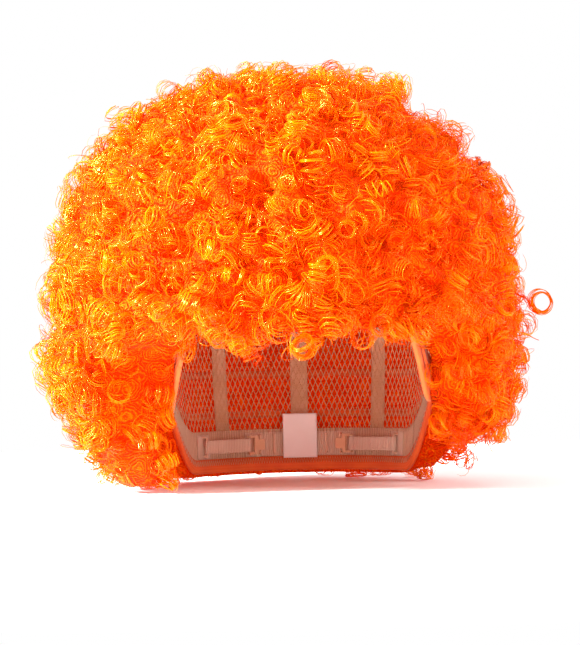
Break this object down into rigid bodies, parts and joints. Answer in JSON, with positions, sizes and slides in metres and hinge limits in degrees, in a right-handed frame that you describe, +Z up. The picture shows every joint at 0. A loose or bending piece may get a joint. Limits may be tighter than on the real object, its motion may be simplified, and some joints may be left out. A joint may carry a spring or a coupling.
{
  "type": "costume wig",
  "caption": "Round orange costume wig of tight ringlets on a stretch cap, with a fringe, side lobes, hook adjusters and a sewn-in label.",
  "frame": {"origin": "centre of the head opening, on the plane that the hair stands on, under the axis of the head the cap is cut for", "axes": "-Y is where the wearer faces, +X is the wearer's left, +Z is up through the crown"},
  "size_m": [0.276, 0.2879, 0.2389],
  "materials": {
    "hair": "satin",
    "weft_thread": "matte",
    "net": "matte",
    "band_cloth": "matte",
    "ribbed_elastic": "matte",
    "binding": "satin",
    "elastic_cord": "matte",
    "loop_thread": "matte",
    "strap_elastic": "matte",
    "hook_plastic": "gloss",
    "label": "satin"
  },
  "bodies": {
    "cap": {"front_band": "band_cloth", "ear_tab_left": "band_cloth", "ear_tab_right": "band_cloth", "side_band_left": "ribbed_elastic", "side_band_right": "ribbed_elastic", "nape_band": "ribbed_elastic", "edge_binding": "binding", "rim_elastic": "elastic_cord", "crown_net": "net", "crown_patch": "band_cloth", "ribbon_front": "band_cloth", "ribbon_front_left": "band_cloth", "ribbon_left": "band_cloth", "ribbon_back_left": "band_cloth", "ribbon_back": "band_cloth", "ribbon_back_right": "band_cloth", "ribbon_right": "band_cloth", "ribbon_front_right": "band_cloth", "weft_tape_1": "weft_thread", "weft_tape_2": "weft_thread", "weft_tape_3": "weft_thread", "weft_tape_4": "weft_thread", "weft_tape_5": "weft_thread", "weft_tape_6": "weft_thread", "weft_tape_7": "weft_thread", "weft_tape_8": "weft_thread", "weft_tape_9": "weft_thread", "curls_1": "hair", "curls_2": "hair", "curls_3": "hair", "curls_4": "hair", "curls_5": "hair", "curls_6": "hair", "curls_7": "hair", "curls_8": "hair", "curls_9": "hair", "loop_tape": "loop_thread", "anchor_bar_left": "loop_thread", "anchor_bar_right": "loop_thread"},
    "strap_left": {"strap_left": "strap_elastic"},
    "strap_right": {"strap_right": "strap_elastic"},
    "hook_left": {"hook_left": "hook_plastic"},
    "hook_right": {"hook_right": "hook_plastic"},
    "label": {"size_label": "label"}
  },
  "joints": [
    {"name": "strap_swing_left", "type": "hinge", "parent": "cap", "child": "strap_left", "pos_m": [0.05389, 0.05881, 0.0213], "axis": [0, 0, 1], "range_deg": [0, 60]},
    {"name": "strap_stretch_left", "type": "slide", "parent": "strap_left", "child": "hook_left", "axis": [-0.7632, 0.6462, 0], "range_m": [0, 0.004], "stiffness_N_per_m": 40, "deforming": ["strap_left"]},
    {"name": "strap_swing_right", "type": "hinge", "parent": "cap", "child": "strap_right", "pos_m": [-0.05389, 0.05881, 0.0213], "axis": [0, 0, -1], "range_deg": [0, 60]},
    {"name": "strap_stretch_right", "type": "slide", "parent": "strap_right", "child": "hook_right", "axis": [0.7632, 0.6462, 0], "range_m": [0, 0.004], "stiffness_N_per_m": 40, "deforming": ["strap_right"]},
    {"name": "label_flip", "type": "hinge", "parent": "cap", "child": "label", "pos_m": [0, 0.09014, 0.039], "axis": [-1, 0, 0], "range_deg": [0, 90]}
  ]
}
